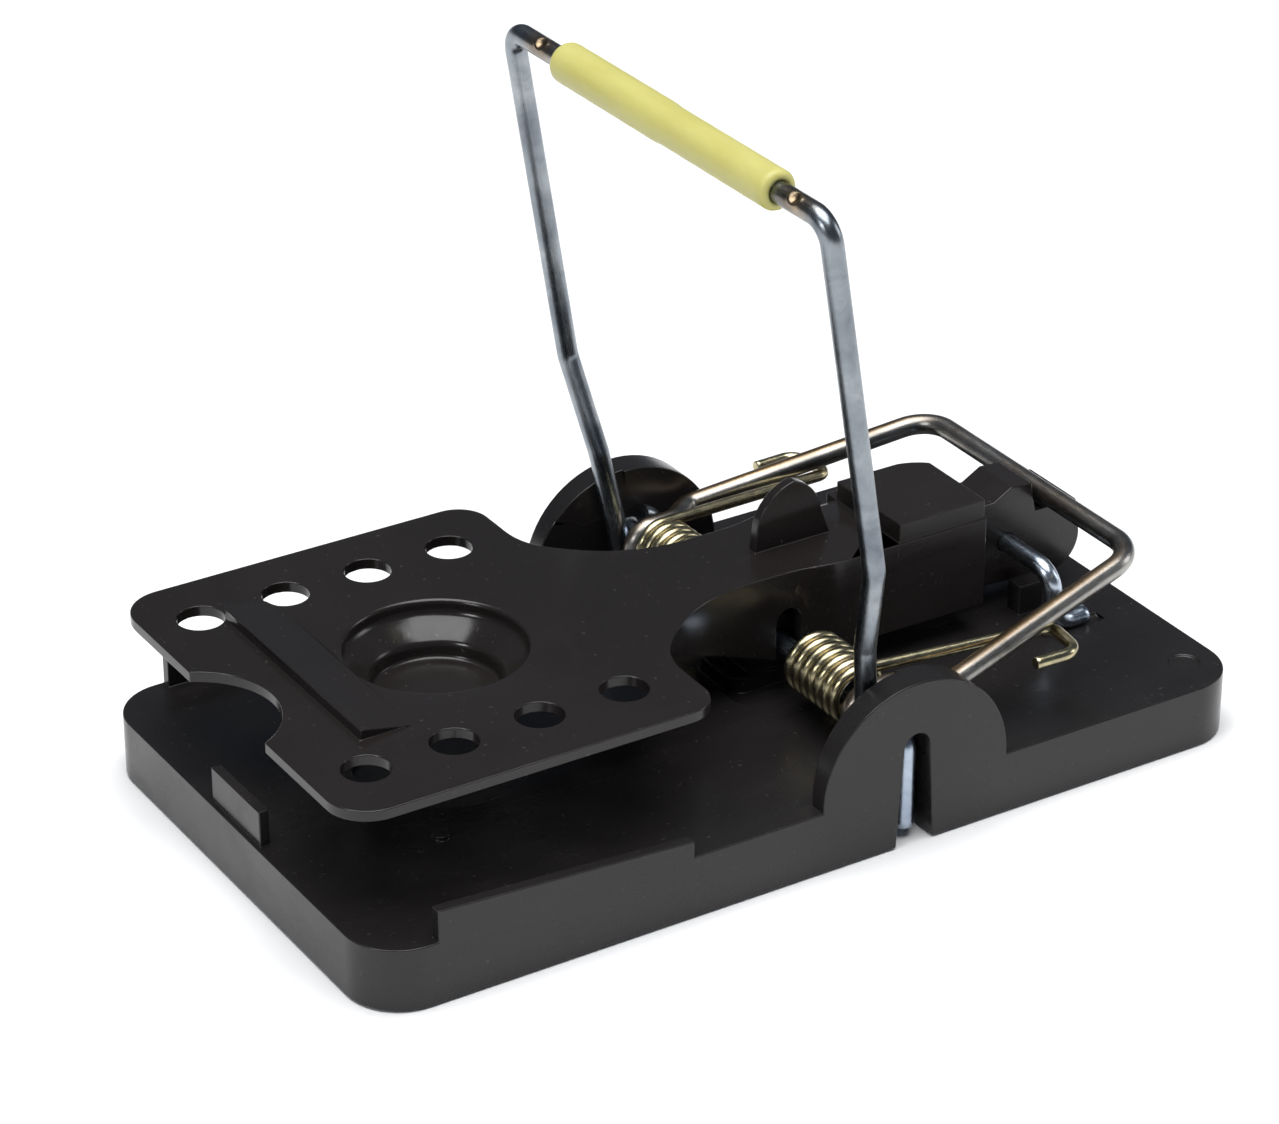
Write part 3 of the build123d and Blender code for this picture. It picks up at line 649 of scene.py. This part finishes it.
# ---------------------------------------------------------------- sleeve
def sleeve_profile():
    """One wall of the tube from its far end to its near end, thinner by a soft step past the middle."""
    bore = WIRE / 2 + SLEEVE_FIT
    rim = [(0.0, 0.6), (0.07, 0.4), (0.25, 0.17), (0.55, 0.04)]
    points = [(SLEEVE_SHIFT - SLEEVE_HALF, bore)]
    points += [(SLEEVE_SHIFT - SLEEVE_HALF + inset, SLEEVE_R - drop) for inset, drop in rim]
    for i in range(SLEEVE_RINGS + 1):
        x = -SLEEVE_HALF + SLEEVE_MARGIN + 2 * (SLEEVE_HALF - SLEEVE_MARGIN) * i / SLEEVE_RINGS
        step = SLEEVE_STEP / (1 + math.exp(-x / SLEEVE_STEP_WIDTH))
        sag = SLEEVE_SAG * math.cos(x * SLEEVE_SAG_RATE) ** 2
        points.append((SLEEVE_SHIFT + x, SLEEVE_R - SLEEVE_SKIN - step - sag))
    near = SLEEVE_SHIFT + SLEEVE_HALF
    points += [(near - inset, SLEEVE_R - drop - NEAR_END_THINNER) for inset, drop in reversed(rim)]
    points.append((near, bore))
    return points


sleeve = lathe("bar_sleeve_tube", sleeve_profile(), BAR)
finish_piece(sleeve, SLEEVE_YELLOW, ["bar_sleeve"], "sleeve")


# ---------------------------------------------------------------- moulded parts
WELD = 2e-7
FLAT_ENOUGH = math.radians(0.6)
RIM_ANGLE = math.radians(20)
EDGE_ANGLE = math.radians(32)


def round_bowl(bm, centre, reach, rounding):
    """Rounds the sharp edges that lie above the centre and within reach of its upright axis."""
    rims = []
    for edge in bm.edges:
        offsets = [corner.co / MM - centre for corner in edge.verts]
        if all(offset.z > 0 and offset.xy.length < reach for offset in offsets):
            if edge.is_manifold and edge.calc_face_angle() > RIM_ANGLE:
                rims.append(edge)
    bmesh.ops.bevel(
        bm, geom=rims, offset=rounding * MM, segments=4, profile=0.5, affect="EDGES", clamp_overlap=True
    )


def eased(node, width, bowl=None):
    """A copy of a moulded CAD node with its sharp edges eased, and a bowl's edges rounded more."""
    mesh = frame["nodes"][node].data.copy()
    for stale in ("custom_normal", "sharp_edge", "sharp_face"):
        if stale in mesh.attributes:
            mesh.attributes.remove(mesh.attributes[stale])
    bm = bmesh.new()
    bm.from_mesh(mesh)
    bmesh.ops.remove_doubles(bm, verts=bm.verts, dist=WELD)
    bmesh.ops.dissolve_limit(bm, angle_limit=FLAT_ENOUGH, verts=bm.verts, edges=bm.edges)
    bmesh.ops.recalc_face_normals(bm, faces=bm.faces)
    if bowl:
        round_bowl(bm, *bowl)
    for face in bm.faces:
        face.smooth = True
    bm.to_mesh(mesh)
    bm.free()
    piece = linked(f"{node}_moulding", mesh)
    bevel = piece.modifiers.new("eased_edges", "BEVEL")
    bevel.width = width * MM
    bevel.segments = 2
    bevel.limit_method = "ANGLE"
    bevel.angle_limit = EDGE_ANGLE
    bevel.use_clamp_overlap = False
    bevel.harden_normals = True
    bpy.context.view_layer.update()
    graph = bpy.context.evaluated_depsgraph_get()
    baked = bpy.data.meshes.new_from_object(piece.evaluated_get(graph))
    piece.modifiers.clear()
    piece.data = baked
    return piece


tray = eased("base", BASE_EDGE)
finish_piece(tray, TRAY_PLASTIC, ["base"], "tray")
paddle = eased("paddle", PADDLE_EDGE, (CUP_CENTRE, CUP_REACH, CUP_ROUNDING))
finish_piece(paddle, PADDLE_PLASTIC, ["paddle"], "paddle")


# ---------------------------------------------------------------- floor, light, camera
FLOOR_HALF = 3.0
FLOOR_DROP = 0.0002
OBJECT_MIDDLE = (0, 0, 0.03)


def floor():
    """A plain pale floor just under the rest face."""
    h = FLOOR_HALF
    mesh = bpy.data.meshes.new("floor")
    mesh.from_pydata([(-h, -h, 0), (h, -h, 0), (h, h, 0), (-h, h, 0)], [], [(0, 1, 2, 3)])
    piece = linked("floor", mesh)
    piece.location.z = -FLOOR_DROP
    s = Shader("pale_floor")
    s.set(Roughness=0.75)
    place = s.coordinates()
    cloud = s.noise(place, scale=6.0, detail=2.0, roughness=0.5)
    tone = s.ramp(cloud, "Fac", [(0.3, FLOOR_LOW), (0.7, FLOOR_HIGH)])
    s.join(tone, "Color", s.surface, "Base Color")
    piece.data.materials.append(s.material)


def area(name, place, target, width, power, height=None):
    """A soft rectangular lamp that faces the target."""
    data = bpy.data.lights.new(name, "AREA")
    data.energy = power
    data.shape = "RECTANGLE" if height else "SQUARE"
    data.size = width
    if height:
        data.size_y = height
    light = linked(name, data)
    light.location = place
    light.rotation_euler = (Vector(target) - Vector(place)).to_track_quat("-Z", "Y").to_euler()


floor()
area("overhead", (0.05, -0.05, 1.05), (0, 0, 0), width=1.0, power=17.0)
area("right_wall", (0.35, 0.95, 0.35), OBJECT_MIDDLE, width=0.3, power=1.6, height=0.5)
area("front_left", (0.25, -0.95, 0.5), OBJECT_MIDDLE, width=0.25, power=2.2)
world = bpy.data.worlds.new("studio")
world.use_nodes = True
background = world.node_tree.nodes["Background"]
background.inputs["Color"].default_value = (0.62, 0.72, 0.9, 1.0)
background.inputs["Strength"].default_value = 0.13
bpy.context.scene.world = world
bpy.context.scene.view_settings.view_transform = "Standard"

CAMERA_PLACE = (0.33264, -0.21149, 0.23313)
CAMERA_ELEVATION = 28.2
CAMERA_AZIMUTH = 58.14
SENSOR_WIDTH = 36.0
IMAGE_WIDTH = 1279
FOCAL_LENGTH = 4321.8
camera_data = bpy.data.cameras.new("camera")
camera_data.sensor_width = SENSOR_WIDTH
camera_data.lens = SENSOR_WIDTH * FOCAL_LENGTH / IMAGE_WIDTH
camera = linked("camera", camera_data)
camera.location = CAMERA_PLACE
camera.rotation_euler = (math.radians(90 - CAMERA_ELEVATION), 0, math.radians(CAMERA_AZIMUTH))
bpy.context.scene.camera = camera

bpy.context.view_layer.update()
